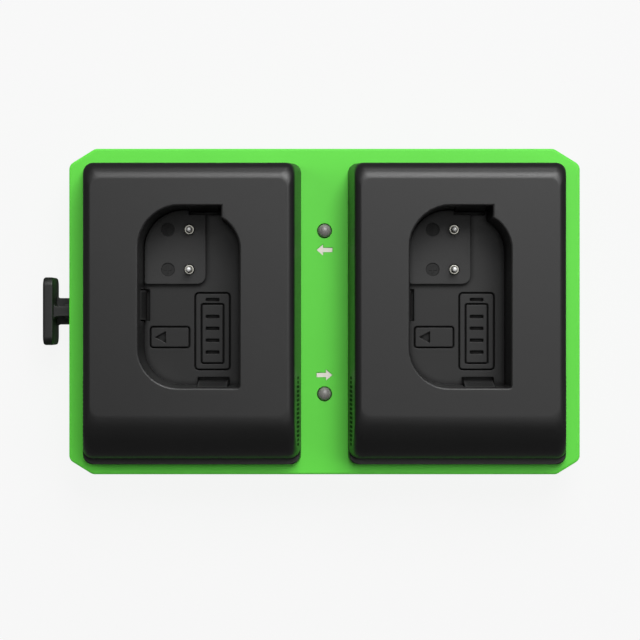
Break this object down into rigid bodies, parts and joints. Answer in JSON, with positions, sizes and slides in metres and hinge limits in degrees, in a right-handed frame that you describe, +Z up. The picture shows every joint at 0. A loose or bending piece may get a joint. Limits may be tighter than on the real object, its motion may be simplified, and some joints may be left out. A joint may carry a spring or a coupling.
{
  "type": "dual battery charger",
  "caption": "Dual charger for camera batteries: shallow housing with clip-on battery plates, sculpted pockets and sprung contact pins, charge lamps between them and a side post",
  "frame": {"origin": "centre of the whole part's outline seen from above, side post included, at the surface that its feet rest on", "axes": "+X to the right along the housing's width, +Y to the back where the input socket is, +Z up, out of the battery pockets"},
  "size_m": [0.127, 0.0768, 0.031],
  "materials": {
    "housing": "bright green ABS, finely textured",
    "plate": "black ABS with a fine spark-eroded texture",
    "contact_block": "black moulded plastic",
    "polarity": "dead black filled recess",
    "board": "green solder mask on glass-epoxy board",
    "pin": "bright nickel-plated",
    "barrel": "nickel-plated brass",
    "spring": "bright spring wire",
    "lamp": "cloudy diffusing polycarbonate",
    "lamp_chip": "moulded white package",
    "arrow": "off-white filled recess",
    "connector": "natural nylon",
    "socket": "drawn stainless shell",
    "chip": "moulded epoxy",
    "capacitor": "drawn aluminium can",
    "post": "black nylon",
    "screw": "zinc-plated steel",
    "foot": "moulded rubber"
  },
  "bodies": {
    "charger": {"top_housing": "housing", "bottom_cover": "housing", "left_plate": "plate", "right_plate": "plate", "left_contact_block": "contact_block", "right_contact_block": "contact_block", "left_contact_board": "board", "right_contact_board": "board", "left_back_barrel": "barrel", "left_front_barrel": "barrel", "right_back_barrel": "barrel", "right_front_barrel": "barrel", "left_back_spring": "spring", "left_front_spring": "spring", "right_back_spring": "spring", "right_front_spring": "spring", "polarity_marks": "polarity", "lamp_domes": "lamp", "lamp_chips": "lamp_chip", "arrow_inlays": "arrow", "main_board": "board", "left_plug": "connector", "right_plug": "connector", "left_header": "chip", "right_header": "chip", "input_socket": "socket", "charge_chips": "chip", "inductors": "chip", "capacitors": "capacitor", "side_post": "post", "post_screw": "screw", "board_screws": "screw", "housing_screws": "screw", "rubber_feet": "foot"},
    "left_back_plunger": {"left_back_pin": "pin"},
    "left_front_plunger": {"left_front_pin": "pin"},
    "right_back_plunger": {"right_back_pin": "pin"},
    "right_front_plunger": {"right_front_pin": "pin"}
  },
  "joints": [
    {"name": "left_back_press", "type": "slide", "parent": "charger", "child": "left_back_plunger", "axis": [0, 0, -1], "range_m": [0, 0.002], "stiffness_N_per_m": 300, "springref_m": -0.001, "deforming": ["left_back_spring"]},
    {"name": "left_front_press", "type": "slide", "parent": "charger", "child": "left_front_plunger", "axis": [0, 0, -1], "range_m": [0, 0.002], "stiffness_N_per_m": 300, "springref_m": -0.001, "deforming": ["left_front_spring"]},
    {"name": "right_back_press", "type": "slide", "parent": "charger", "child": "right_back_plunger", "axis": [0, 0, -1], "range_m": [0, 0.002], "stiffness_N_per_m": 300, "springref_m": -0.001, "deforming": ["right_back_spring"]},
    {"name": "right_front_press", "type": "slide", "parent": "charger", "child": "right_front_plunger", "axis": [0, 0, -1], "range_m": [0, 0.002], "stiffness_N_per_m": 300, "springref_m": -0.001, "deforming": ["right_front_spring"]}
  ]
}
